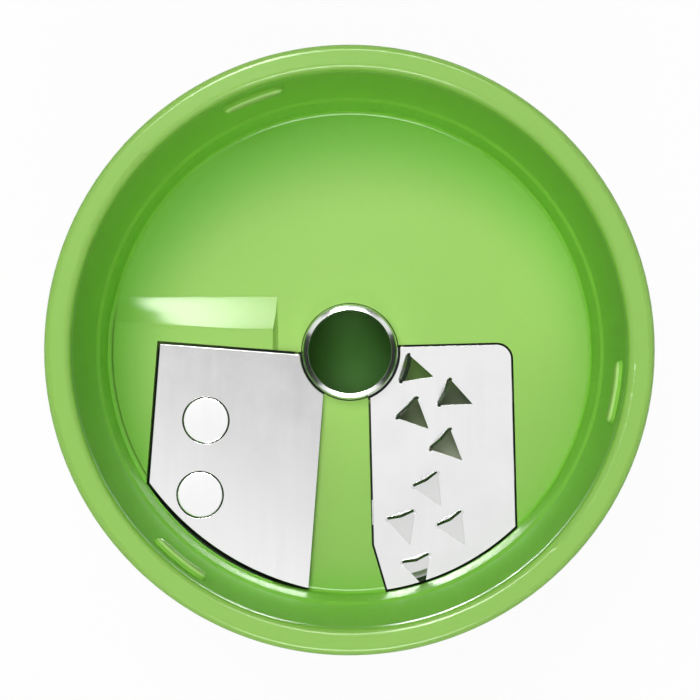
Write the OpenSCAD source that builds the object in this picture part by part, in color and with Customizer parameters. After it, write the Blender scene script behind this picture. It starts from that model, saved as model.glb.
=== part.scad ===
// Blade cup of a hand-held vegetable spiralizer, food side up.
// Millimetres, +Z up, origin in the middle of the foot's underside.
// The vegetable turns clockwise, seen from above: over the teeth, across the bare strip and onto the blade.

/* [Bowl] */
// Inside radius of the wall where it meets the floor
floor_r = 33.8; // [31:0.1:38]
// Height of the rim above the floor
bowl_depth = 30; // [26:0.5:40]
// Draft of the wall, in degrees
wall_draft = 2.6; // [1:0.1:5]
// Thickness of the wall
wall_t = 2.2; // [1.8:0.1:3]
// Thickness of the floor
floor_t = 2.4; // [2.2:0.1:3.2]
// Fillet between the floor and the wall
floor_fillet = 0.8; // [0.4:0.1:1.5]
// Height of the thicker band at the root of the wall
root_h = 8; // [4:0.5:12]
// How far that band stands in from the wall above it
root_step = 0.4; // [0.1:0.05:0.6]
// Height of the slope between that band and the wall
root_ease = 0.8; // [0.4:0.1:2]

/* [Lip] */
// How far the lip stands out past the wall
lip_over = 1.2; // [0.5:0.1:3]
// Height of the lip
lip_h = 3.6; // [2.5:0.1:6]
// Rounding of the lip's inner edge
lip_round_in = 1; // [0.4:0.1:1.3]
// Rounding of the lip's outer edges
lip_round_out = 0.9; // [0.4:0.1:1.2]

/* [Snap beads] */
// Number of snap beads inside the wall
bead_count = 3; // [2:1:6]
// Direction of the first bead, in degrees
bead_turn = -9; // [-30:1:30]
// Height of the beads above the floor
bead_h = 24; // [14:0.5:25]
// Length of one bead
bead_len = 8.8; // [4:0.2:12]
// Radius of the bead's round back
bead_r = 1.3; // [1:0.1:1.6]
// How far a bead stands out of the wall
bead_proud = 0.9; // [0.2:0.05:0.95]

/* [Foot] */
// Outside radius of the foot that drops into a jar or a holder
foot_r = 35; // [33.5:0.1:35.3]
// Height of the foot below the bowl
foot_h = 11; // [10:0.5:18]
// Thickness of the foot's wall
foot_t = 1.8; // [1.5:0.1:3]
// Rounding of the foot's lower edges
foot_round = 0.6; // [0.2:0.1:0.7]
// Rounding of the bowl's lower outside edge
heel_round = 0.8; // [0.3:0.1:1]
// Width of each drive notch in the foot's lower edge
notch_w = 6; // [4:0.5:10]
// Height of the drive notches
notch_h = 4; // [2:0.5:6]

/* [Hub and coring ring] */
// Inside radius of the coring ring
ring_in_r = 5.8; // [5:0.1:7]
// Wall of the coring ring
ring_t = 0.85; // [0.7:0.05:1.4]
// Land left at the ring's cutting edge
ring_land = 0.08; // [0.05:0.01:0.2]
// Height of the ring's edge above the floor
ring_h = 3.6; // [3:0.1:7]
// Height of the cone that is ground on the ring's outside
ring_bevel = 1.5; // [1:0.1:2.8]
// Depth of the ring in its hub
ring_seat = 7; // [4:0.5:8]
// Radial clearance between the ring and its hub
ring_fit = 0.05; // [0.02:0.01:0.15]
// Wall of the hub round the ring
hub_t = 2; // [1.5:0.1:3]
// Gap between the hub's lower end and the plane the foot stands on
hub_gap = 1; // [0.5:0.5:3]
// Thickness of the hub's closed lower end
hub_floor_t = 1.6; // [1:0.1:3]
// Width of the groove in the floor round the ring
ring_groove = 0.2; // [0.1:0.05:0.4]
// Depth of that groove
ring_groove_h = 1.2; // [0.3:0.1:1.6]

/* [Slicing blade] */
// Thickness of the blade
blade_t = 0.8; // [0.6:0.1:1.2]
// Width of the blade from its back to its cutting edge
blade_w = 23.3; // [21:0.1:25]
// Place of the blade's back corner across the cup
blade_x = -26.5; // [-28:0.1:-25.5]
// Place of the blade's back corner along the cup
blade_y = 1.1; // [0:0.1:2]
// Turn of the blade about the cup's axis direction, in degrees
blade_turn = -4.4; // [-8:0.1:0]
// Tilt that lifts the cutting edge, in degrees
blade_tilt = 1.5; // [0.5:0.1:4]
// Height of the blade's back above the floor
blade_rise = 0.85; // [0.4:0.05:1.2]
// Radius of the blade's outer end
blade_end_r = 38; // [35:0.5:50]
// Gap in the middle between the blade's outer end and the wall
blade_end_gap = 0.75; // [0.3:0.05:1]
// Gap between the blade and the moulding round it
blade_gap = 0.4; // [0.2:0.05:0.6]
// Depth of the recesses for the blade and the tooth plate in the root of the wall
recess_in = 0.15; // [0.05:0.05:0.3]
// Depth of the groove round the blade below its underside
blade_groove = 1.5; // [0.3:0.1:1.7]
// Gap between the blade and the coring ring
blade_ring_gap = 0.35; // [0.2:0.05:0.8]
// Bevel of the cutting edge, in degrees
bevel_angle = 20; // [15:1:30]
// Land left at the cutting edge
bevel_land = 0.1; // [0.05:0.01:0.2]

/* [Rivets] */
// Radius of a rivet's head
rivet_head_r = 3.15; // [2.6:0.05:3.6]
// Thickness of the head
rivet_head_t = 0.56; // [0.4:0.02:0.58]
// Depth of the head's seat in the blade
rivet_seat = 0.5; // [0.3:0.05:0.5]
// Gap round the head
rivet_gap = 0.15; // [0.05:0.01:0.2]
// Radius of the shank
shank_r = 1.5; // [1.2:0.1:2]
// Clearance round the shank
shank_fit = 0.1; // [0.05:0.01:0.2]
// Distance of the rivets from the blade's back edge
rivet_in = 7.2; // [5.5:0.1:9]
// Distance of the outer rivet from the blade's outer end
rivet_out = 5.4; // [4.6:0.1:7]
// Distance between the rivets
rivet_pitch = 10.4; // [9:0.1:11]
// Thickness of the moulding that the rivets clamp
clamp_t = 3.4; // [3.2:0.1:5]
// Radius of the washers
washer_r = 2.9; // [2.7:0.1:3.4]
// Gap round the washers where the foot is fluted for the rivet tool
washer_gap = 0.2; // [0.1:0.05:0.4]
// How far the moulding's bosses stand out past the washers
boss_over = 0.6; // [0.4:0.1:1]
// Thickness of the washers
washer_t = 0.8; // [0.5:0.1:1.2]
// Radius of the closed end of a rivet
tail_r = 2.3; // [2.1:0.1:2.6]
// Height of the closed end of a rivet
tail_h = 1; // [0.6:0.1:1.4]

/* [Blade pad] */
// Distance of the pad's end face from the cup's axis
pad_end = 10.2; // [9.5:0.1:12]
// Slope of the pad's end face, in degrees from upright
pad_slope = 20; // [5:1:35]
// How far the pad stands above the blade's face
pad_over = 0.3; // [0:0.05:0.5]
// Distance of the ramp's foot from the cup's axis
ramp_foot = 7.7; // [6:0.1:10]
// Radius of the hollow ramp
ramp_r = 17.3; // [14:0.1:24]
// Slope at the ramp's foot, in degrees
ramp_start = 10; // [6:0.5:14]
// Distance of the throat from the cutting edge above it
throat_lip = 0.4; // [0.2:0.1:1]
// Rim of floor left between the throat and the wall
throat_rim = 2.2; // [1.8:0.1:4]
// Rim of floor left between the throat and the blade's rear edge
throat_rear = 1.2; // [0.8:0.1:3]

/* [Tooth plate] */
// Thickness of the plate and its teeth
plate_t = 0.4; // [0.35:0.05:0.7]
// Turn of the plate, in degrees
plate_turn = 1.4; // [0:0.1:4]
// Distance of the plate's left edge from the cup's axis
plate_left = 2.7; // [2:0.1:4]
// Width of the plate
plate_w = 19.8; // [18.5:0.1:21]
// Distance of the plate's top edge past the cup's axis
plate_top = 0.5; // [0:0.1:1.5]
// Rounding of the plate's free corner
plate_round = 2; // [1:0.1:3]
// Gap between the plate and its pocket
plate_gap = 0.3; // [0.15:0.05:0.5]
// Gap between the plate and the coring ring
plate_ring_gap = 0.4; // [0.2:0.05:0.8]
// Gap between the plate's outer end and the wall
plate_end_gap = 0.2; // [0.1:0.05:1]
// Slope of the cut-off lower corner, in degrees
plate_snip = 15; // [10:1:25]
// Distance of the snip from the cup's axis, along the plate's left edge
snip_start = 27; // [25:0.5:29]
// Floor left as a ledge under the plate's edges
ledge_w = 1.6; // [1.2:0.1:2.2]
// Floor left as a ledge under the plate's outer end
ledge_end = 0.6; // [0.4:0.1:1.2]
// Depth of the groove round the plate below its underside
plate_groove = 1.2; // [0.2:0.1:1.4]

/* [Teeth] */
// Distance of the first tooth from the cup's axis
tooth_first = 8; // [7.6:0.1:8.4]
// Step from tooth to tooth across the strip, the width of one noodle
tooth_pitch = 3.2; // [3:0.05:3.25]
// Width of a tooth at its root
tooth_w = 3.95; // [3:0.05:4.2]
// Height of a tooth
tooth_h = 4.2; // [3:0.1:4.4]
// Radius of the small relief holes at the ends of a tooth's root
relief_r = 0.25; // [0.1:0.05:0.4]
// Directions of the teeth, from the inner one outwards, in degrees
tooth_turns = [-16.5, -44.4, -23, -44, -59.4, -72.7, -59.2, -72.4];
// Reach of the web that backs the inner teeth, from the cup's axis
web_reach = 16; // [15.4:0.1:16.6]
// Thickness of that web
web_t = 1.2; // [1:0.1:2]
// Depth of the clear space between the floor's underside and the web
web_drop = 4.2; // [0.8:0.1:5]
// Thickness of the rib that carries the middle of the plate
plate_rib_t = 1; // [0.6:0.1:1.4]
// Direction of that rib, in degrees
plate_rib_turn = -32.7; // [-36:0.1:-30]

/* [Plate legs] */
// Width of a leg
leg_w = 3.2; // [2.4:0.1:3.4]
// Length of a leg's folded end
leg_fold = 2; // [1.4:0.1:2.1]
// Clearance of a leg in its slot
leg_fit = 0.15; // [0.1:0.05:0.3]
// Places of the legs down the plate's right edge
right_legs = [6, 16.8];
// Place of the leg down the plate's left edge
left_leg = 22.6; // [21.8:0.1:24]

/* [Underside ribs] */
// Number of ribs from the hub to the foot
rib_count = 5; // [3:1:7]
// Thickness of a rib
rib_t = 1.6; // [1.2:0.1:2.4]
// Depth of a rib below the floor
rib_h = 4; // [2:0.5:6]
// Direction of the first rib, in degrees
rib_first = 15; // [10:1:25]
// Direction of the last rib, in degrees
rib_last = 165; // [150:1:170]

/* [Hidden] */
$fn = 96;
// Overlap that joins solids of one moulding and carries cuts past a face
join = 0.4;
// Depth by which the floor fillet's circle passes the two faces that it joins, so that it crosses them
fillet_bite = 0.02;
// Size of the blocks that stand for half-spaces
far = 60;
green = [0.55, 0.79, 0.31];
steel = [0.86, 0.86, 0.86];
bright_steel = [0.94, 0.94, 0.94];

floor_z = foot_h + floor_t;
rim_z = floor_z + bowl_depth;
rim_in_r = wall_in(rim_z);
lip_r = rim_in_r + wall_t + lip_over;
ring_r = ring_in_r + ring_t;
hub_r = ring_r + ring_fit + hub_t;
blade_clear_r = ring_r + blade_ring_gap;
plate_clear_r = ring_r + plate_ring_gap;
blade_end_mid = floor_r - blade_end_gap;
plate_end_r = floor_r - plate_end_gap;
foot_in_r = foot_r - foot_t;
// Direction from the cup's axis to the middle of the blade's outer end
blade_end_turn = 237;
// Middle of the blade's outer round, first from the cup's axis, then in the blade's own frame
blade_end_c = polar(blade_end_mid - blade_end_r, blade_end_turn);
blade_end_at = turned(blade_end_c - [blade_x, blade_y], -blade_turn);
rivet_last = blade_end_at[1] - sqrt(pow(blade_end_r, 2) - pow(rivet_in - blade_end_at[0], 2)) + rivet_out;
rivet_places = [for (i = [0, 1]) [rivet_in, rivet_last + i * rivet_pitch]];
ramp_y = ramp_foot + ramp_r * sin(ramp_start);
ramp_z = floor_z + ramp_r * cos(ramp_start);
web_z = foot_h - web_drop;

// Inside radius of the wall at height z, above the thicker root band
function wall_in(z) = floor_r + root_step + (z - floor_z) * tan(wall_draft);
// Inside radius of the root band at height z
function root_in(z) = wall_in(z) - root_step;
function polar(r, turn) = r * [cos(turn), sin(turn)];
function turned(p, turn) = [p[0] * cos(turn) - p[1] * sin(turn), p[0] * sin(turn) + p[1] * cos(turn)];

// The blade's own frame: origin at its back corner, x to the cutting edge, z = 0 on its upper face
module in_blade_frame() {
    translate([blade_x, blade_y, floor_z + blade_rise])
        rotate([0, 0, blade_turn])
            rotate([0, -blade_tilt, 0])
                children();
}

// The blade's upright frame, for cuts that stand square to the floor
module in_blade_plan() {
    translate([blade_x, blade_y])
        rotate(blade_turn)
            children();
}

// The tooth plate's frame: x to the right from its left edge, y up from the cup's axis
module in_plate_plan() {
    rotate(plate_turn)
        translate([plate_left, 0])
            children();
}

// What a convex corner loses to a round of radius r about c, between the tangent points a and b
module corner_loss(c, r, a, b, corner) {
    difference() {
        polygon([c, a, corner, b]);
        translate(c) circle(r);
    }
}

// Section of the wall, the lip and the edge of the floor, with sharp corners
module wall_section() {
    root_top = floor_z + root_h;
    polygon([
        [root_in(floor_z) - floor_fillet - join, foot_h],
        [root_in(floor_z) - floor_fillet - join, floor_z],
        [root_in(floor_z), floor_z],
        [root_in(root_top), root_top],
        [wall_in(root_top + root_ease), root_top + root_ease],
        [rim_in_r, rim_z],
        [lip_r, rim_z],
        [lip_r, rim_z - lip_h],
        [wall_in(rim_z - lip_h) + wall_t, rim_z - lip_h - lip_over],
        [wall_in(foot_h) + wall_t, foot_h],
    ]);
}

module bowl_section() {
    in_c = [wall_in(rim_z - lip_round_in) + lip_round_in / cos(wall_draft), rim_z - lip_round_in];
    out_c = [lip_r - lip_round_out, rim_z - lip_round_out];
    heel_c = [wall_in(foot_h + heel_round) + wall_t - heel_round / cos(wall_draft), foot_h + heel_round];
    inward = [-cos(wall_draft), sin(wall_draft)];
    difference() {
        union() {
            wall_section();
            floor_fillet_section();
        }
        corner_loss(in_c, lip_round_in, in_c + lip_round_in * inward, [in_c[0], rim_z + join],
            [rim_in_r - join, rim_z + join]);
        corner_loss(out_c, lip_round_out, [out_c[0], rim_z + join], [lip_r + join, out_c[1]],
            [lip_r + join, rim_z + join]);
        corner_loss(heel_c, heel_round, heel_c - heel_round * inward, [heel_c[0], foot_h - join],
            [heel_c[0] + heel_round + join, foot_h - join]);
    }
}

module floor_fillet_section() {
    c_z = floor_z + floor_fillet - fillet_bite;
    c = [root_in(c_z) - (floor_fillet - fillet_bite) / cos(wall_draft), c_z];
    difference() {
        polygon([
            [c[0], floor_z - join],
            [root_in(floor_z) + join, floor_z - join],
            [root_in(floor_z) + join, c_z],
            c,
        ]);
        translate(c) circle(floor_fillet);
    }
}

module foot_section() {
    difference() {
        translate([foot_in_r, 0]) square([foot_t, foot_h + join]);
        for (side = [-1, 1]) {
            edge = foot_r - foot_t / 2 + side * foot_t / 2;
            c = [edge - side * foot_round, foot_round];
            corner_loss(c, foot_round, [c[0], -join], [edge + side * join, foot_round],
                [edge + side * join, -join]);
        }
    }
}

module drive_notches() {
    for (i = [0 : bead_count - 1])
        rotate(bead_turn + i * 360 / bead_count)
            translate([foot_in_r - join, -notch_w / 2, -join])
                cube([foot_t + 2 * join, notch_w, notch_h + join]);
}

module snap_bead() {
    back_r = wall_in(floor_z + bead_h) + bead_r - bead_proud;
    half_turn = asin((bead_len / 2 - bead_r) / back_r);
    translate([0, 0, floor_z + bead_h]) {
        rotate(-half_turn)
            rotate_extrude(angle = 2 * half_turn)
                translate([back_r, 0]) circle(bead_r);
        for (side = [-1, 1])
            rotate(side * half_turn)
                translate([back_r, 0, 0]) sphere(bead_r);
    }
}

// Outline of the slicing blade, grown by a gap all round but at its cutting edge
module blade_outline(gap = 0) {
    difference() {
        intersection() {
            translate([-gap, -far]) square([blade_w + gap, far + gap]);
            translate(blade_end_at) circle(blade_end_r + gap);
        }
        rotate(-blade_turn)
            translate([-blade_x, -blade_y])
                circle(blade_clear_r - gap);
    }
}

// The blade lies in this recess, with a deeper groove round its edges
module blade_recess() {
    intersection() {
        in_blade_frame() {
            translate([0, 0, -blade_t]) linear_extrude(far) blade_outline(blade_gap);
            translate([0, 0, -blade_t - blade_groove])
                linear_extrude(blade_groove + join) difference() {
                    blade_outline(blade_gap);
                    blade_outline();
                }
        }
        cylinder(r = floor_r + recess_in, h = rim_z);
    }
}

// Raised pad behind and under the blade, with the ramp that leads the cut face back down to the floor
module blade_pad() {
    difference() {
        intersection() {
            translate([0, 0, floor_z - join]) cylinder(r = floor_r + root_step + join, h = root_h);
            translate([-pad_end, -far, floor_z])
                rotate([0, -pad_slope, 0])
                    translate([-2 * far, 0, -far]) cube([2 * far, far + ramp_foot, 2 * far]);
            in_blade_frame() translate([-far / 2, -far, pad_over - far]) cube([2 * far, 2 * far, far]);
        }
        translate([-far, ramp_y, ramp_z])
            rotate([0, 90, 0]) cylinder(r = ramp_r, h = far);
    }
}

// The way down through the floor for what the blade cuts
module throat() {
    linear_extrude(floor_z + join)
        difference() {
            intersection() {
                circle(floor_r - throat_rim);
                in_blade_plan()
                    translate([0, -far - throat_rear]) square([blade_w - throat_lip, far]);
                translate([-pad_end, -far]) square([far, 2 * far]);
            }
            circle(hub_r);
        }
}

module rivet_bosses() {
    in_blade_frame()
        for (place = rivet_places)
            translate([place[0], place[1], -blade_t - clamp_t])
                cylinder(r = washer_r + boss_over, h = clamp_t);
}

// Holes for the shanks, and the room below them for the washers and the tool that closes the rivets
module rivet_holes() {
    in_blade_frame()
        for (place = rivet_places)
            translate([place[0], place[1], -blade_t - clamp_t]) {
                translate([0, 0, -join]) cylinder(r = shank_r + shank_fit, h = clamp_t + 2 * join);
                translate([0, 0, -far]) cylinder(r = washer_r + washer_gap, h = far);
            }
}

// Outline of the tooth plate, grown by a gap, or shrunk by a negative one, and its outer end's radius
module plate_outline(gap = 0, end_r = plate_end_r) {
    difference() {
        intersection() {
            circle(end_r);
            in_plate_plan() {
                difference() {
                    translate([-gap, -far]) square([plate_w + 2 * gap, far + plate_top + gap]);
                    plate_corner_loss(gap);
                    translate([-gap, -snip_start])
                        rotate(plate_snip) translate([-far, -far]) square(far);
                }
            }
        }
        circle(plate_clear_r - gap);
    }
}

module plate_corner_loss(gap) {
    c = [plate_w - plate_round, plate_top - plate_round];
    r = plate_round + gap;
    side = plate_w + gap + join;
    top = plate_top + gap + join;
    corner_loss(c, r, [c[0], top], [side, c[1]], [side, top]);
}

// The tooth plate lies in this pocket, with a deeper groove round its edges
module plate_pocket() {
    pocket_r = floor_r + recess_in;
    translate([0, 0, floor_z - plate_t]) linear_extrude(far) plate_outline(plate_gap, pocket_r);
    translate([0, 0, floor_z - plate_t - plate_groove])
        linear_extrude(plate_groove + join) difference() {
            plate_outline(plate_gap, pocket_r);
            plate_outline();
        }
}

// Open window in the floor inside the ledge, all but the rib that carries the plate's middle
module plate_window() {
    translate([0, 0, web_z])
        difference() {
            linear_extrude(far) plate_outline(-ledge_w, plate_end_r - ledge_end);
            rotate(plate_rib_turn)
                translate([0, -plate_rib_t / 2, -join]) cube([far, plate_rib_t, far]);
        }
}

// Web between hub and floor that backs the inner teeth
module tooth_web() {
    translate([0, 0, web_z - web_t])
        linear_extrude(foot_h - web_z + web_t + join)
            intersection() {
                in_plate_plan() translate([-far, -web_reach]) square(2 * far);
                plate_outline(ledge_w, floor_r);
            }
}

// Rib from the hub out to the ledge, under the plate's middle
module plate_rib() {
    rib_end = (plate_left + plate_w - ledge_w / 2) / cos(plate_rib_turn);
    rotate(plate_rib_turn)
        translate([hub_r - join, -plate_rib_t / 2, web_z - join])
            cube([rib_end - hub_r + join, plate_rib_t, foot_h - web_z + 2 * join]);
}

// Places of the legs: on the plate's edge, with the fold pointing away from the plate
module at_legs() {
    for (place = right_legs)
        rotate(plate_turn) translate([plate_left + plate_w, -place, 0]) children();
    rotate(plate_turn) translate([plate_left, -left_leg, 0]) rotate(180) children();
}

module plate_leg() {
    translate([-plate_t, -leg_w / 2, foot_h - plate_t]) {
        cube([plate_t, leg_w, floor_t + plate_t]);
        cube([plate_t + leg_fold, leg_w, plate_t]);
    }
}

// Slot for a leg through the floor, and the room below it for the folded end
module leg_slot() {
    translate([-plate_t - leg_fit, -leg_w / 2 - leg_fit, 0]) {
        cube([plate_t + 2 * leg_fit, leg_w + 2 * leg_fit, rim_z]);
        cube([plate_t + leg_fold + 2 * leg_fit, leg_w + 2 * leg_fit, foot_h]);
    }
}

// One tooth stands on its root line, point up, with its back to the hole it was cut from
module tooth() {
    translate([-plate_t, 0, floor_z - plate_t / 2])
        rotate([90, 0, 90])
            linear_extrude(plate_t)
                polygon([[-tooth_w / 2, 0], [tooth_w / 2, 0], [0, tooth_h]]);
}

module tooth_hole() {
    translate([0, 0, floor_z - far / 2])
        linear_extrude(far) {
            polygon([[0, -tooth_w / 2], [tooth_h, 0], [0, tooth_w / 2]]);
            for (side = [-1, 1])
                translate([0, side * tooth_w / 2]) circle(relief_r);
        }
}

module at_teeth() {
    for (i = [0 : len(tooth_turns) - 1])
        rotate(tooth_turns[i])
            translate([tooth_first + i * tooth_pitch, 0, 0])
                children();
}

module underside_ribs() {
    step = (rib_last - rib_first) / (rib_count - 1);
    for (i = [0 : rib_count - 1])
        rotate(rib_first + i * step)
            translate([hub_r - join, -rib_t / 2, foot_h - rib_h])
                cube([foot_in_r - hub_r + 2 * join, rib_t, rib_h + join]);
}

module hub_bore() {
    ring_bottom = floor_z - ring_seat;
    translate([0, 0, hub_gap + hub_floor_t]) cylinder(r = ring_in_r, h = far);
    translate([0, 0, ring_bottom]) cylinder(r = ring_r + ring_fit, h = far);
    translate([0, 0, floor_z - ring_groove_h]) cylinder(r = ring_r + ring_groove, h = far);
}

module cup() {
    color(green) difference() {
        union() {
            rotate_extrude() bowl_section();
            rotate_extrude() foot_section();
            translate([0, 0, foot_h]) cylinder(r = floor_r - floor_fillet, h = floor_t);
            translate([0, 0, hub_gap]) cylinder(r = hub_r, h = floor_z - hub_gap);
            for (i = [0 : bead_count - 1])
                rotate(bead_turn + i * 360 / bead_count) snap_bead();
            blade_pad();
            rivet_bosses();
            tooth_web();
            plate_rib();
            underside_ribs();
        }
        drive_notches();
        hub_bore();
        blade_recess();
        rivet_holes();
        throat();
        plate_pocket();
        plate_window();
        at_legs() leg_slot();
    }
}

module coring_ring() {
    top = floor_z + ring_h;
    bottom = floor_z - ring_seat;
    color(bright_steel) rotate_extrude()
        polygon([
            [ring_in_r, bottom],
            [ring_r, bottom],
            [ring_r, top - ring_bevel],
            [ring_in_r + ring_land, top],
            [ring_in_r, top],
        ]);
}

module slicing_blade() {
    color(steel) in_blade_frame() difference() {
        translate([0, 0, -blade_t]) linear_extrude(blade_t) blade_outline();
        translate([blade_w, 0, -bevel_land])
            rotate([0, -bevel_angle, 0]) translate([-far, -far, -far]) cube([2 * far, 2 * far, far]);
        for (place = rivet_places)
            translate([place[0], place[1], 0]) {
                translate([0, 0, -rivet_seat]) cylinder(r = rivet_head_r + rivet_gap, h = far);
                translate([0, 0, -far / 2]) cylinder(r = shank_r + shank_fit, h = far);
            }
    }
}

module blade_rivets() {
    grip = blade_t - rivet_seat + clamp_t + washer_t;
    color(bright_steel) in_blade_frame()
        for (place = rivet_places)
            translate([place[0], place[1], -rivet_seat]) {
                cylinder(r = rivet_head_r, h = rivet_head_t);
                translate([0, 0, -grip]) cylinder(r = shank_r, h = grip);
                translate([0, 0, -grip - tail_h]) cylinder(r = tail_r, h = tail_h);
            }
}

module rivet_washers() {
    color(steel) in_blade_frame()
        for (place = rivet_places)
            translate([place[0], place[1], -blade_t - clamp_t - washer_t])
                difference() {
                    cylinder(r = washer_r, h = washer_t);
                    translate([0, 0, -join]) cylinder(r = shank_r + shank_fit, h = washer_t + 2 * join);
                }
}

module tooth_plate() {
    color(bright_steel) {
        difference() {
            translate([0, 0, floor_z - plate_t]) linear_extrude(plate_t) plate_outline();
            at_teeth() tooth_hole();
        }
        at_teeth() tooth();
        at_legs() plate_leg();
    }
}

cup();
coring_ring();
slicing_blade();
blade_rivets();
rivet_washers();
tooth_plate();
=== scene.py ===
import math

import bmesh
import bpy
import numpy as np
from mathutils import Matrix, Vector


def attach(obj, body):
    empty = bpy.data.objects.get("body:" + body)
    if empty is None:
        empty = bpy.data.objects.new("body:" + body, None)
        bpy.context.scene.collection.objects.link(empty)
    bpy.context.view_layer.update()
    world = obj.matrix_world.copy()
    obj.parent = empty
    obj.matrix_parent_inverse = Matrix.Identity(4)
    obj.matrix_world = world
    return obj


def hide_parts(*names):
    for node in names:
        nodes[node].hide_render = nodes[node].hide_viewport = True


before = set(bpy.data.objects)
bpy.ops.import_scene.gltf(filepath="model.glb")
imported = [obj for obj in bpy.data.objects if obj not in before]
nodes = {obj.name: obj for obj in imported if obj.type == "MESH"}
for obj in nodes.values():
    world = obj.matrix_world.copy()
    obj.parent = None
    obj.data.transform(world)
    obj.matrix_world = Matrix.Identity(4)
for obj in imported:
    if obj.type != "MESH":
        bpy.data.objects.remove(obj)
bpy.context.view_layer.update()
mm = 0.001

# Cup: one injection moulding in green plastic, with the bowl, the lip, the blade pad and the foot.
# The mould's polished faces leave a faint orange peel, and turned food leaves fine rings on the floor.
# The walls come off the mould finely matt. The beads carry painted highlights, and the web under the teeth
# painted shade and light.
deep_green = (0.385, 0.655, 0.150, 1.0)
leaf_green = (0.415, 0.690, 0.170, 1.0)
# Painted shade: the walls are a deeper green than the floor of the same plastic.
shaded_wall_green = (0.290, 0.700, 0.075, 1.0)
# Painted shade: the floor darkens to this green towards the wall, and the lip darkens by a share of it.
painted_shade_green = (0.235, 0.640, 0.070, 1.0)
# Painted shade: the hub's bore is painted dark green.
bore_shade_green = (0.038, 0.125, 0.017, 1.0)
# Painted shade: the grooves round the steel and the gap at the blade's end are painted near-black green.
seam_shade_green = (0.010, 0.026, 0.006, 1.0)
# Painted highlight: a pale line along the beads.
bead_highlight_green = (0.620, 0.980, 0.300, 1.0)
# Painted shade and light on the web under the teeth: grey, turning paler towards its lower end.
tray_shade_grey = (0.360, 0.440, 0.260, 1.0)
tray_light_pale = (0.800, 0.850, 0.660, 1.0)

# Gloss of the polished faces, and what the masks add to their roughness
gloss_rough = (0.12, 0.18)
added_rough = {"Satin": 0.30, "Matt": 0.45, "Bore": 0.6}
drawn_rough = 0.14
plastic_ior, plastic_specular = 1.5, 0.2

# Grain: noise scales in 1/m, turned and drawn marks as (along, across), and the orange peel's depth in mm
tone_scale, peel_scale = 55.0, 900.0
turned_marks, drawn_marks = (2.2, 2600.0), (90.0, 60.0)
peel_depth, peel_share = 0.002, 0.75

# Places of the masks in mm: a pair of limits runs from where a mask is 0 to where it is 1
wall_slope = math.tan(math.radians(2.6))
wall_start, wall_end = (32.7, 33.0), (43.15, 42.85)
satin_end, matt_rise = (42.9, 40.5), (18.5, 30.0)
# Where the beads' painted highlight lies.
crest_inner, crest_outer = (32.84, 32.92), (33.22, 33.14)
crest_low, crest_top = (37.4, 37.7), (41.0, 40.0)
# Painted shade near the walls and on the lip: where it centres, how far it reaches and how deep it goes.
edge_mid, edge_squeeze = (2.0, -3.0), 0.92
edge_rise, edge_top, painted_shade_depth = (24.0, 34.5), (20.0, 16.0), 0.75
lip_start, lip_shade_share = (41.8, 42.6), 0.45
# The bore's painted shade fills the hub from its mouth down.
bore_wall, bore_mouth, bore_bottom = (6.6, 6.0), (14.0, 11.0), (2.1, 2.4)
# Places of the painted shade in the grooves round the ring, the blade and the plate, and in the gap at the
# blade's end.
floor_inner, floor_outer = (7.2, 8.0), (34.2, 34.0)
ring_seam_inner, ring_seam_outer = (6.5, 6.6), (7.3, 7.2)
blade_side, blade_front = (-5.4, -6.2), (2.0, 0.0)
plate_side, plate_front = (2.0, 3.0), (3.0, 2.0)
end_inner, end_outer, end_front = (33.0, 33.3), (33.85, 33.65), (-18.5, -19.5)
seam_top, end_seam_top, seam_fade, seam_bottom = 13.1, 15.2, (0.15, -0.1), (11.5, 11.8)
# Where the web's painted shade lies, and where its painted light rises.
tray_bottom, tray_top, tray_front = (6.4, 6.6), (7.1, 7.0), (-2.5, -6.5)
tray_light_rise = (-10.5, -14.5)

# The pad's ramp runs along y, and its polish leaves it flatter by the slope ramp_ease
ramp_low, ramp_top, ramp_ease = 3.2, 7.7, 0.1
ramp_side, ramp_floor, ramp_end = (-10.0, -10.3), (12.9, 13.2), (33.3, 33.0)


def group_tree(name, inputs):
    """Empty shader node group with a Vector and float inputs {name: default}: (group, its input node)."""
    tree = bpy.data.node_groups.new(name, "ShaderNodeTree")
    tree.interface.new_socket("Vector", in_out="INPUT", socket_type="NodeSocketVector")
    for label, default in inputs.items():
        socket = tree.interface.new_socket(label, in_out="INPUT", socket_type="NodeSocketFloat")
        socket.default_value = default
    return tree, tree.nodes.new("NodeGroupInput")


def put_out(tree, results):
    """Float outputs {name: socket} of a shader node group."""
    for label in results:
        tree.interface.new_socket(label, in_out="OUTPUT", socket_type="NodeSocketFloat")
    out = tree.nodes.new("NodeGroupOutput")
    for label, value in results.items():
        tree.links.new(value, out.inputs[label])


def noise(tree, vector, scale, detail, roughness):
    """Noise texture on a vector socket, with its scale in 1/m or from a socket."""
    n = tree.nodes.new("ShaderNodeTexNoise")
    n.inputs["Detail"].default_value = detail
    n.inputs["Roughness"].default_value = roughness
    if isinstance(scale, (int, float)):
        n.inputs["Scale"].default_value = scale
    else:
        tree.links.new(scale, n.inputs["Scale"])
    tree.links.new(vector, n.inputs["Vector"])
    return n.outputs["Fac"]


def math_node(tree, operation, *values):
    """Math node on numbers or sockets."""
    n = tree.nodes.new("ShaderNodeMath")
    n.operation = operation
    for socket, value in zip(n.inputs, values):
        if isinstance(value, (int, float)):
            socket.default_value = value
        else:
            tree.links.new(value, socket)
    return n.outputs[0]


def product(tree, *values):
    """Product of numbers or sockets, of which the first is a socket."""
    total = values[0]
    for value in values[1:]:
        total = math_node(tree, "MULTIPLY", total, value)
    return total


def axes(tree, vector):
    """The x, y and z of a vector socket."""
    split = tree.nodes.new("ShaderNodeSeparateXYZ")
    tree.links.new(vector, split.inputs[0])
    return split.outputs


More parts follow.
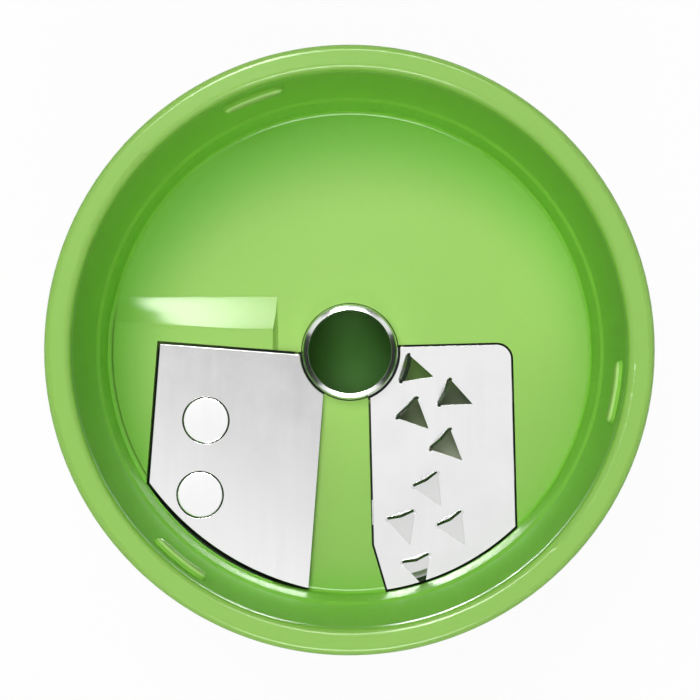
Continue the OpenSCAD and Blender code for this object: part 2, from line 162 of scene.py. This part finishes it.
def span(tree, x, y):
    """Root of x squared plus y squared."""
    return math_node(tree, "SQRT", math_node(tree, "ADD", product(tree, x, x), product(tree, y, y)))


def polar_vector(tree, vector, along, across):
    """Vector (angle * along, radius * across, z * across) about the cup's axis, for marks in rings."""
    x, y, z = axes(tree, vector)
    join = tree.nodes.new("ShaderNodeCombineXYZ")
    angle = math_node(tree, "ARCTAN2", y, x)
    for value, gain, socket in ((angle, along, 0), (span(tree, x, y), across, 1), (z, across, 2)):
        tree.links.new(product(tree, value, gain), join.inputs[socket])
    return join.outputs[0]


def smooth_step(tree, value, start, end):
    """0 at start, 1 at end, both in millimetres, with a smooth rise between them."""
    n = tree.nodes.new("ShaderNodeMapRange")
    n.interpolation_type = "SMOOTHSTEP"
    n.inputs["From Min"].default_value = start * mm
    n.inputs["From Max"].default_value = end * mm
    tree.links.new(value, n.inputs["Value"])
    return n.outputs["Result"]


def zone(tree, *limits):
    """Mask of the place inside every limit (socket, (start, end)): the product of their smooth steps."""
    return product(tree, *(smooth_step(tree, value, *ends) for value, ends in limits))


def mapped(tree, value, low, high):
    """Map Range from 0..1 to low..high."""
    n = tree.nodes.new("ShaderNodeMapRange")
    tree.links.new(value, n.inputs["Value"])
    n.inputs["To Min"].default_value = low
    n.inputs["To Max"].default_value = high
    return n.outputs["Result"]


def skin_height(tree, place, peel):
    """Height in metres: the orange peel, and a fall of ramp_ease times the way down the pad's ramp."""
    x, y, level = axes(tree, place)
    on_ramp = math_node(tree, "MAXIMUM", math_node(tree, "MINIMUM", y, ramp_top * mm), ramp_low * mm)
    down = math_node(tree, "SUBTRACT", on_ramp, ramp_top * mm)
    mask = zone(tree, (x, ramp_side), (level, ramp_floor), (span(tree, x, y), ramp_end))
    eased_ramp = product(tree, down, mask, ramp_ease)
    return math_node(tree, "ADD", product(tree, peel, peel_depth * mm), eased_ramp)


def wall_masks(tree, radius, level):
    """Wall on the drafted walls, Satin on them below the lip, Matt rising up them, and a painted highlight
    along the beads.
    """
    drafted = math_node(tree, "SUBTRACT", radius, product(tree, level, wall_slope))
    wall = zone(tree, (drafted, wall_start), (level, wall_end))
    satin = product(tree, wall, smooth_step(tree, level, *satin_end))
    matt = product(tree, satin, smooth_step(tree, level, *matt_rise))
    bead_highlight = zone(tree, (drafted, crest_inner), (drafted, crest_outer),
                 (level, crest_low), (level, crest_top))
    return {"Wall": wall, "Satin": satin, "Matt": matt, "BeadHighlight": bead_highlight}


def painted_shade_mask(tree, x, y, level):
    """Painted shade: rises over the floor with the distance from edge_mid, squeezed along x, and by a share
    on the lip.
    """
    off_x = product(tree, math_node(tree, "SUBTRACT", x, edge_mid[0] * mm), edge_squeeze)
    off_y = math_node(tree, "SUBTRACT", y, edge_mid[1] * mm)
    on_floor = zone(tree, (span(tree, off_x, off_y), edge_rise), (level, edge_top))
    return math_node(tree, "ADD", on_floor, product(tree, smooth_step(tree, level, *lip_start), lip_shade_share))


def seam_masks(tree, x, y, level, radius):
    """Painted shade in the narrow grooves round the steel, painted shade on the web under the teeth, and
    painted light towards its end.
    """
    inside = zone(tree, (radius, floor_inner), (radius, floor_outer))
    by_ring = zone(tree, (radius, ring_seam_inner), (radius, ring_seam_outer))
    by_blade = product(tree, inside, zone(tree, (x, blade_side), (y, blade_front)))
    by_plate = product(tree, inside, zone(tree, (x, plate_side), (y, plate_front)))
    at_end = product(tree, by_blade, zone(tree, (radius, end_inner), (radius, end_outer), (y, end_front)))
    top = mapped(tree, at_end, seam_top * mm, end_seam_top * mm)
    low = smooth_step(tree, math_node(tree, "SUBTRACT", level, top), *seam_fade)
    near = math_node(tree, "MAXIMUM", math_node(tree, "MAXIMUM", by_ring, by_blade), by_plate)
    # Painted shade in the grooves.
    seam_shade = product(tree, near, low, smooth_step(tree, level, *seam_bottom))
    tray = product(tree, by_plate, zone(tree, (level, tray_bottom), (level, tray_top), (y, tray_front)))
    return {"Seam": seam_shade, "Tray": tray, "TrayLight": smooth_step(tree, y, *tray_light_rise)}


def moulded_skin():
    """Group of the moulding's textures and masks.

    Tone is a slow mottle of the pigment, Rings the fine turned scuffs and Streak the wall's draw marks.
    Height is the relief in metres, a painted shade rises where the floor nears the wall and on the lip, and
    Bore, a painted shade, is 1 down in the hub.
    The other masks are those of wall_masks and seam_masks.
    """
    tree, given = group_tree("moulded_skin", {"Peel": peel_scale})
    place = given.outputs["Vector"]
    x, y, level = axes(tree, place)
    radius = span(tree, x, y)
    rings = noise(tree, polar_vector(tree, place, *turned_marks), 1.0, detail=3.0, roughness=0.6)
    fine = noise(tree, place, given.outputs["Peel"], detail=2.0, roughness=0.4)
    peel = math_node(tree, "ADD", product(tree, fine, peel_share), product(tree, rings, 1 - peel_share))
    put_out(tree, {
        "Tone": noise(tree, place, tone_scale, detail=4.0, roughness=0.55),
        "Rings": rings,
        "Streak": noise(tree, polar_vector(tree, place, *drawn_marks), 1.0, detail=3.0, roughness=0.6),
        "Height": skin_height(tree, place, peel),
        "PaintedShade": painted_shade_mask(tree, x, y, level),
        "Bore": zone(tree, (radius, bore_wall), (level, bore_mouth), (level, bore_bottom)),
        **wall_masks(tree, radius, level),
        **seam_masks(tree, x, y, level, radius),
    })
    return tree


def material(name):
    """New node material: (material, tree, Principled node, Object coordinate socket)."""
    mat = bpy.data.materials.new(name)
    mat.use_nodes = True
    tree = mat.node_tree
    place = tree.nodes.new("ShaderNodeTexCoord")
    return mat, tree, tree.nodes["Principled BSDF"], place.outputs["Object"]


def blended(tree, value, low, high):
    """Colour between low and high, each a colour or a socket, by a value socket."""
    n = tree.nodes.new("ShaderNodeMix")
    n.data_type = "RGBA"
    tree.links.new(value, n.inputs["Factor"])
    for socket, colour in zip((n.inputs[6], n.inputs[7]), (low, high)):
        if isinstance(colour, tuple):
            socket.default_value = colour
        else:
            tree.links.new(colour, socket)
    return n.outputs[2]


def bump(tree, shader, height):
    """Bump from a height socket in metres into the shader's normal."""
    n = tree.nodes.new("ShaderNodeBump")
    n.inputs["Distance"].default_value = 1.0
    tree.links.new(height, n.inputs["Height"])
    tree.links.new(n.outputs["Normal"], shader.inputs["Normal"])


def place_group(tree, group, vector):
    """Outputs of a group placed in a material and fed with its vector."""
    n = tree.nodes.new("ShaderNodeGroup")
    n.node_tree = group
    tree.links.new(vector, n.inputs["Vector"])
    return n.outputs


def green_plastic():
    """Glossy pigmented plastic: polished floor and lip, walls matt upwards, with painted shade near and on
    the walls, in the bore and in the seams, painted highlights on the beads, and painted shade and light on
    the web under the teeth.
    """
    mat, tree, shader, place = material("green_plastic")
    skin = place_group(tree, moulded_skin(), place)
    pigment = blended(tree, skin["Tone"], deep_green, leaf_green)
    # Painted shade: the floor darkens towards the wall, and the lip darkens too.
    pigment = blended(tree, mapped(tree, skin["PaintedShade"], 0.0, painted_shade_depth), pigment, painted_shade_green)
    # Painted shade on the web under the teeth, with painted light towards its lower end.
    tray_shade_and_light = blended(tree, skin["TrayLight"], tray_shade_grey, tray_light_pale)
    for label, colour in (("Wall", shaded_wall_green), ("BeadHighlight", bead_highlight_green), ("Bore", bore_shade_green),
                          ("Tray", tray_shade_and_light), ("Seam", seam_shade_green)):
        pigment = blended(tree, skin[label], pigment, colour)
    tree.links.new(pigment, shader.inputs["Base Color"])
    rough = mapped(tree, skin["Rings"], *gloss_rough)
    for label, added in added_rough.items():
        rough = math_node(tree, "ADD", rough, mapped(tree, skin[label], 0.0, added))
    drawn = product(tree, skin["Satin"], mapped(tree, skin["Streak"], -drawn_rough, drawn_rough))
    tree.links.new(math_node(tree, "ADD", rough, drawn), shader.inputs["Roughness"])
    shader.inputs["IOR"].default_value = plastic_ior
    shader.inputs["Specular IOR Level"].default_value = plastic_specular
    bump(tree, shader, skin["Height"])
    return mat


cup = nodes["cup"]
cup.data.materials.clear()
cup.data.materials.append(green_plastic())

# Coring ring: short steel tube, turned from bar and pressed into the hub of the cup.
# Its upper end is ground outside to a sharp round edge, with a polished crown above the cone.
ring_in_r, ring_out_r = 5.8, 6.65
ring_low, ring_top = 6.4, 17.0
ring_cone, ring_land = 1.1, 0.02
crown_out, crown_down = 0.74, 0.27
ring_eases = [0.15, 0.15, 0.3, 0.14, 0.01, 0.01]
ring_dark, ring_bright = (0.72, 0.74, 0.71, 1), (0.80, 0.82, 0.79, 1)
grain_length, grain_width, cloud_scale = 60.0, 2400.0, 150.0
dish_start = 21


def eased(corners, reach, steps=5):
    """Closed profile with its corners eased: each corner C becomes the curve (1-t)^2 A + 2t(1-t) C + t^2 B.

    A and B lie on the two sides at the corner's own reach from C, in millimetres.
    """
    c = np.array(corners, float)
    reach = np.array(reach, float)[:, None]
    back, ahead = np.roll(c, 1, 0) - c, np.roll(c, -1, 0) - c
    a = c + reach * back / np.linalg.norm(back, axis=1, keepdims=True)
    b = c + reach * ahead / np.linalg.norm(ahead, axis=1, keepdims=True)
    t = np.linspace(0, 1, steps)[None, :, None]
    curve = (1 - t) ** 2 * a[:, None] + 2 * t * (1 - t) * c[:, None] + t ** 2 * b[:, None]
    return curve.reshape(-1, 2)


def turned_grid(profile, around=128):
    """Profile points (r, z) carried round the z axis: x = r cos u, y = r sin u, with u over a full turn."""
    u = np.linspace(0, 2 * math.pi, around, endpoint=False)[:, None]
    r, z = profile[:, 0][None], profile[:, 1][None]
    return np.stack([r * np.cos(u), r * np.sin(u), z + 0 * u], -1)


def grid_faces(rows, columns, first=0, loop=True):
    """Quads of a grid that closes on itself round its rows and, with loop, along its columns too."""
    i, j = np.meshgrid(np.arange(rows), np.arange(columns if loop else columns - 1), indexing="ij")
    i_next, j_next = (i + 1) % rows, (j + 1) % columns
    here, there = i * columns, i_next * columns
    quads = np.stack([here + j, there + j, there + j_next, here + j_next], -1)
    return quads.reshape(-1, 4) + first


def settle(name, mesh, slot, *stands_for):
    """The finished mesh becomes an object that rides on the cup and stands for its CAD nodes."""
    body = bpy.data.objects.new(name, mesh)
    bpy.context.scene.collection.objects.link(body)
    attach(body, "root")
    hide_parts(*stands_for)
    return body


def piece(name, points, faces, mat, slot, *stands_for):
    """Mesh object at the origin from points in millimetres, with its poles welded, riding on the cup."""
    mesh = bpy.data.meshes.new(name)
    mesh.from_pydata((points * mm).tolist(), [], faces.tolist())
    shape = bmesh.new()
    shape.from_mesh(mesh)
    bmesh.ops.remove_doubles(shape, verts=shape.verts, dist=0.0005 * mm)
    shape.to_mesh(mesh)
    shape.free()
    mesh.polygons.foreach_set("use_smooth", np.ones(len(mesh.polygons), bool))
    mesh.materials.append(mat)
    return settle(name, mesh, slot, *stands_for)


def brushed_skin():
    """Group: Streak is the grain of a brushed face, drawn out along y, and Cloud a slow change of tone."""
    tree, given = group_tree("brushed_skin", {"Length": grain_length, "Width": grain_width})
    place = given.outputs["Vector"]
    join = tree.nodes.new("ShaderNodeCombineXYZ")
    for value, label, socket in zip(axes(tree, place), ("Width", "Length", "Width"), join.inputs):
        tree.links.new(product(tree, value, given.outputs[label]), socket)
    put_out(tree, {
        "Streak": noise(tree, join.outputs[0], 1.0, detail=4.0, roughness=0.6),
        "Cloud": noise(tree, place, cloud_scale, detail=4.0, roughness=0.55),
    })
    return tree


brushed_group = brushed_skin()


def steel(name, dark, bright, rough, grain, dish=None):
    """Brushed steel between two tones, with its roughness range and the depth of its grain in mm.

    With a dish the sheet rises towards the wall by dish times the square of its way past dish_start, in mm.
    """
    mat, tree, shader, place = material(name)
    skin = place_group(tree, brushed_group, place)
    tree.links.new(blended(tree, skin["Cloud"], dark, bright), shader.inputs["Base Color"])
    tree.links.new(mapped(tree, skin["Streak"], *rough), shader.inputs["Roughness"])
    shader.inputs["Metallic"].default_value = 1.0
    height = product(tree, skin["Streak"], grain * mm)
    if dish:
        x, y, _ = axes(tree, place)
        past = math_node(tree, "MAXIMUM", math_node(tree, "SUBTRACT", span(tree, x, y), dish_start * mm), 0.0)
        height = math_node(tree, "ADD", height, product(tree, past, past, dish / mm))
    bump(tree, shader, height)
    return mat


ring_profile = eased(
    [(ring_in_r, ring_low), (ring_out_r, ring_low), (ring_out_r, ring_top - ring_cone),
     (ring_in_r + crown_out, ring_top - crown_down), (ring_in_r + ring_land, ring_top),
     (ring_in_r, ring_top - ring_land)],
    ring_eases, steps=9)
ring_points = turned_grid(ring_profile)
piece("coring_ring_ground", ring_points.reshape(-1, 3), grid_faces(*ring_points.shape[:2]),
      steel("ring_steel", ring_dark, ring_bright, rough=(0.12, 0.20), grain=0.0003),
      "ring_steel", "coring_ring")

# Slicing blade: satin sheet steel, stamped, ground to an edge and riveted down on the pad.
# Its edges are broken a little, so that they catch a thin line of light, and it has a painted sheen, brighter
# towards its outer end.
blade_edge = 0.06
blade_corner = np.array([-26.5, 1.1, 14.25])
blade_turn, blade_tilt = math.radians(-4.4), math.radians(1.5)
satin_dark, satin_bright = (0.44, 0.44, 0.44, 1), (0.67, 0.67, 0.67, 1)
# A painted sheen brightens the blade towards its outer end, and painted shade darkens its sides and the rivet
# heads' sides.
end_sheen_grey, gap_shade_black = (0.80, 0.80, 0.80, 1), (0.03, 0.03, 0.03, 1)
sheen_way, sheen_rise = (-0.4, -1.0, 0.0), (0.0, 34.0)
side_shade_top, side_shade_bottom = (-0.07, -0.13), (-0.75, -0.6)
blade_dish = 0.0036


def blade_axes():
    """Matrix from the blade's frame to the cup's: turned about y by minus the tilt, about z by the turn."""
    ct, st, cz, sz = math.cos(blade_tilt), math.sin(blade_tilt), math.cos(blade_turn), math.sin(blade_turn)
    tilt = np.array([[ct, 0, -st], [0, 1, 0], [st, 0, ct]])
    turn = np.array([[cz, -sz, 0], [sz, cz, 0], [0, 0, 1]])
    return turn @ tilt


def broken_edges(name, node, width, mat, slot):
    """Copy of a sheet-metal node with its flat faces joined and its edges broken by a round of that width."""
    mesh = nodes[node].data.copy()
    mesh.name = name
    shape = bmesh.new()
    shape.from_mesh(mesh)
    bmesh.ops.remove_doubles(shape, verts=shape.verts, dist=0.001 * mm)
    bmesh.ops.dissolve_limit(shape, angle_limit=math.radians(0.5), verts=shape.verts, edges=shape.edges)
    shape.to_mesh(mesh)
    shape.free()
    mesh.materials.clear()
    mesh.materials.append(mat)
    sheet = settle(name, mesh, slot, node)
    round_over = sheet.modifiers.new("broken_edges", "BEVEL")
    round_over.width = width * mm
    round_over.segments = 2
    round_over.limit_method = "ANGLE"
    round_over.angle_limit = math.radians(30)
    round_over.harden_normals = True
    return sheet


def overlaid(mat, mask, colour):
    """The material with a colour laid over its own by mask(tree, place)."""
    tree = mat.node_tree
    socket = tree.nodes["Principled BSDF"].inputs["Base Color"]
    own = socket.links[0].from_socket
    place = tree.nodes["Texture Coordinate"].outputs["Object"]
    tree.links.new(blended(tree, mask(tree, place), own, colour), socket)
    return mat


def along(tree, place, way):
    """Distance of a point along a direction, from the origin."""
    n = tree.nodes.new("ShaderNodeVectorMath")
    n.operation = "DOT_PRODUCT"
    tree.links.new(place, n.inputs[0])
    n.inputs[1].default_value = way
    return n.outputs["Value"]


def outer_end(tree, place):
    """Mask of a painted sheen, which rises from the blade's rear edge to its outer end."""
    return smooth_step(tree, along(tree, place, sheen_way), *sheen_rise)


def below_face(tree, place):
    """Mask of what lies just below the blade's upper face: the blade's sides and the sides of the rivet
    heads, painted near black as painted shade.
    """
    up = blade_axes()[:, 2]
    depth = math_node(tree, "SUBTRACT", along(tree, place, up), float(blade_corner @ up) * mm)
    return zone(tree, (depth, side_shade_top), (depth, side_shade_bottom))


satin = steel("blade_steel", satin_dark, satin_bright, rough=(0.10, 0.18), grain=0.0005, dish=blade_dish)
broken_edges("blade_sheet", "slicing_blade", blade_edge,
             overlaid(overlaid(satin, outer_end, end_sheen_grey), below_face, gap_shade_black), "blade_steel")

# Rivets: polished steel, set through the blade and the pad and closed over a washer below.
# The heads are let into the blade, a little domed, with painted shade, a thin dark line, round each.
blade_end_r, blade_end_mid, blade_end_turn = 38.0, 33.05, math.radians(237)
rivet_in, rivet_out, rivet_pitch = 7.2, 5.4, 10.4
blade_t, clamp_t, washer_t = 0.8, 3.4, 0.8
head_r, head_seat, head_rim, head_dome, head_round = 3.15, 0.5, 0.02, 0.04, 0.12
shank_r, tail_r, tail_h = 1.5, 2.3, 1.0
rivet_eases = [0.1, 0.05, 0.05, 0.05, 0.1, 0.3, 0, 0]
rivet_steps, dome_steps, rivet_around = 5, 14, 96
rivet_dark, rivet_bright = (0.88, 0.88, 0.88, 1), (0.93, 0.93, 0.93, 1)


def rivet_places():
    """The outer rivet sits rivet_out in from the blade's round end, the inner one a pitch further in."""
    far = (blade_end_mid - blade_end_r) * np.array([math.cos(blade_end_turn), math.sin(blade_end_turn)])
    x, y = far - blade_corner[:2]
    c, s = math.cos(-blade_turn), math.sin(-blade_turn)
    end_x, end_y = x * c - y * s, x * s + y * c
    last = end_y - math.sqrt(blade_end_r ** 2 - (rivet_in - end_x) ** 2) + rivet_out
    return np.array([[rivet_in, last, 0], [rivet_in, last + rivet_pitch, 0]])


def at_rivets(profile, loop):
    """A turned profile, closed on itself or from pole to pole, set at both rivet places: (points, faces)."""
    shape = turned_grid(profile, rivet_around)
    rows, columns = shape.shape[:2]
    both = (shape.reshape(1, -1, 3) + rivet_places()[:, None]) @ blade_axes().T + blade_corner
    faces = np.concatenate([grid_faces(rows, columns, i * rows * columns, loop) for i in (0, 1)])
    return both.reshape(-1, 3), faces


def rivet_profile():
    """Half section of a rivet from the middle of its tail to the middle of its face.

    The face is z = rim + dome (1 - (r / head)^2), and the two corners on the axis are left off the side.
    """
    r = np.linspace(0, head_r - head_round, dome_steps)
    dome = np.stack([r, head_rim + head_dome * (1 - (r / head_r) ** 2)], 1)
    tail_z = -blade_t - clamp_t - washer_t
    side = eased([(head_r, head_rim), (head_r, -head_seat), (shank_r, -head_seat), (shank_r, tail_z),
                  (tail_r, tail_z), (tail_r, tail_z - tail_h), (0, tail_z - tail_h), (0, head_rim)],
                 rivet_eases, rivet_steps)
    return np.concatenate([dome, side[:-2 * rivet_steps], [[0, tail_z - tail_h]]])[::-1]


polished = steel("rivet_steel", rivet_dark, rivet_bright, rough=(0.10, 0.16), grain=0.0002, dish=blade_dish)
piece("rivets_set", *at_rivets(rivet_profile(), False), overlaid(polished, below_face, gap_shade_black),
      "rivet_steel", "blade_rivets")

# Washers: plain steel rings, stamped from sheet, with slightly rolled edges.
# They lie under the pad, where the rivets are closed over them.
washer_r, washer_hole = 2.9, 1.6
washer_z = -blade_t - clamp_t
washer_eases = [0.08, 0.12, 0.12, 0.08]
washer_dark, washer_bright = (0.55, 0.55, 0.55, 1), (0.66, 0.66, 0.66, 1)
washer_profile = eased([(washer_hole, washer_z - washer_t), (washer_r, washer_z - washer_t),
                        (washer_r, washer_z), (washer_hole, washer_z)], washer_eases)
piece("washers_stamped", *at_rivets(washer_profile, True),
      steel("washer_steel", washer_dark, washer_bright, rough=(0.3, 0.45), grain=0.001),
      "washer_steel", "rivet_washers")

# Tooth plate: bright sheet steel stamping, with its teeth bent up and its legs folded under the floor.
# The flat face is polished, and the teeth are painted dark grey where they stand out of it, as painted shade.
plate_edge = 0.07
plate_face = 13.4
tooth_rise = (plate_face + 0.005, plate_face + 0.06)
tooth_shade_grey = (0.13, 0.13, 0.12, 1)
plate_dark, plate_bright = (0.74, 0.74, 0.74, 1), (0.84, 0.84, 0.84, 1)
plate_dish = 0.0018


def above_face(tree, place):
    """Mask of the teeth, from where they begin to stand above the plate's face."""
    return smooth_step(tree, axes(tree, place)[2], *tooth_rise)


stamped = steel("plate_steel", plate_dark, plate_bright, rough=(0.12, 0.20), grain=0.0004, dish=plate_dish)
broken_edges("plate_stamping", "tooth_plate", plate_edge,
             overlaid(stamped, above_face, tooth_shade_grey), "plate_steel")

# Stage: white table, seen as white by the camera and in mirrors, that still takes the cup's shadow.
# Under the cup it stays dark, but for a painted pool of light, a glow on the table under the window below the
# teeth.
table_reach, table_drop = 3.0, 0.05
table_white, table_rough = (0.9, 0.9, 0.9, 1), 0.8
open_rise, open_glow = (34, 40), (0.05, 0.95)
window_mid, window_rim, window_light_glow = (11, -23), (15, 12), 0.66
foot_rim = (34.5, 33.5)


def painted(name, colour, roughness):
    """Material of one plain colour: (material, tree, Principled node, Object coordinate socket)."""
    mat, tree, shader, place = material(name)
    shader.inputs["Base Color"].default_value = colour
    shader.inputs["Roughness"].default_value = roughness
    return mat, tree, shader, place


def flat_sheet(name, corners, mat):
    """Flat object with its four corners in metres."""
    mesh = bpy.data.meshes.new(name)
    mesh.from_pydata(corners, [], [(0, 1, 2, 3)])
    mesh.materials.append(mat)
    sheet = bpy.data.objects.new(name, mesh)
    bpy.context.scene.collection.objects.link(sheet)
    return sheet


table_mat, tree, shader, place = painted("table_white", table_white, table_rough)
table_turns = ((-1, -1), (1, -1), (1, 1), (-1, 1))
table = flat_sheet("table", [(x * table_reach, y * table_reach, 0) for x, y in table_turns], table_mat)
table.location.z = -table_drop * mm
x, y, _ = axes(tree, place)
from_axis = span(tree, x, y)
from_window = span(tree, math_node(tree, "SUBTRACT", x, window_mid[0] * mm),
                   math_node(tree, "SUBTRACT", y, window_mid[1] * mm))
open_part = mapped(tree, smooth_step(tree, from_axis, *open_rise), *open_glow)
painted_window_light = mapped(tree, zone(tree, (from_window, window_rim), (from_axis, foot_rim)), 0.0, window_light_glow)
path = tree.nodes.new("ShaderNodeLightPath")
seen = math_node(tree, "MAXIMUM", path.outputs["Is Camera Ray"], path.outputs["Is Glossy Ray"])
glow = tree.nodes.new("ShaderNodeEmission")
mix = tree.nodes.new("ShaderNodeMixShader")
tree.links.new(product(tree, seen, math_node(tree, "MAXIMUM", open_part, painted_window_light)), mix.inputs["Fac"])
tree.links.new(shader.outputs[0], mix.inputs[1])
tree.links.new(glow.outputs[0], mix.inputs[2])
tree.links.new(mix.outputs[0], tree.nodes["Material Output"].inputs["Surface"])

# Light: a white room that lights little, and three soft boxes that light the cup from behind and in front.
# Three cards and three black boards show only as reflections, for bright lines and the dark sides of edges.
room_light, room_mirrored = 0.03, 0.98
flag_black, flag_rough = (0.01, 0.01, 0.01, 1), 1.0
world = bpy.data.worlds.new("room")
bpy.context.scene.world = world
world.use_nodes = True
room = world.node_tree
air = room.nodes["Background"]
air.inputs["Color"].default_value = (1, 1, 1, 1)
path = room.nodes.new("ShaderNodeLightPath")
mirrored = mapped(room, path.outputs["Is Glossy Ray"], room_light, room_mirrored)
room.links.new(math_node(room, "MAXIMUM", path.outputs["Is Camera Ray"], mirrored), air.inputs["Strength"])


def softbox(name, place, size, radiance, card=False):
    """Rectangular soft box of size (width, height) in metres, or a card seen only as a reflection.

    It faces the cup across y and z, so that its width stays level along x.
    """
    lamp = bpy.data.lights.new(name, "AREA")
    lamp.shape = "RECTANGLE"
    lamp.size, lamp.size_y = size
    lamp.energy = radiance * math.pi * size[0] * size[1]
    box = bpy.data.objects.new(name, lamp)
    box.location = place
    box.rotation_euler.x = math.atan2(-place[1], place[2])
    box.visible_camera = False
    box.visible_glossy = card
    box.visible_diffuse = not card
    bpy.context.scene.collection.objects.link(box)


def flag(name, corners):
    """Black board, seen only as a reflection, so that bright edges get a dark side."""
    board = flat_sheet(name, corners, painted(name, flag_black, flag_rough)[0])
    board.visible_camera = board.visible_diffuse = board.visible_shadow = False


softbox("key_box", (-0.10, 0.20, 0.70), (0.36, 0.36), 7.0)
softbox("front_box", (0.02, -0.27, 0.68), (0.4, 0.4), 2.5)
softbox("low_box", (0.02, -0.45, 0.58), (0.2, 0.2), 4.6)
softbox("rear_card", (-0.105, 0.326, 0.653), (0.10, 0.35), 44.0, card=True)
softbox("rear_line", (0.075, 0.38, 0.63), (0.19, 0.18), 18.0, card=True)
softbox("front_line", (0.0, -0.39, 0.62), (0.32, 0.20), 18.0, card=True)
for name, side in (("flag_left", -1), ("flag_right", 1)):
    flag(name, [(side * 0.22, -0.30, 0.60), (side * 0.22, 0.12, 0.60),
                (side * 0.50, 0.22, 0.36), (side * 0.50, -0.44, 0.36)])
flag("flag_rear", [(-0.5, 0.59, 0.81), (0.5, 0.59, 0.81), (0.9, 0.98, 0.17), (-0.9, 0.98, 0.17)])

# Camera: straight down into the cup, a hair off its axis, from about a third of a metre.
# Its lens frames the lip with a narrow margin.
eye = Vector((1.0, -3.4, 343.4)) * mm
target = Vector((0.0, 0.27, 13.4)) * mm
view = bpy.data.cameras.new("camera")
view.sensor_width = 36.0
view.lens = 121.3
camera = bpy.data.objects.new("camera", view)
camera.location = eye
aim = target - eye
camera.rotation_euler = (math.atan2(aim.y, -aim.z), math.atan2(-aim.x, -aim.z), 0.0)
bpy.context.scene.collection.objects.link(camera)
bpy.context.scene.camera = camera
bpy.context.scene.view_settings.view_transform = "Standard"
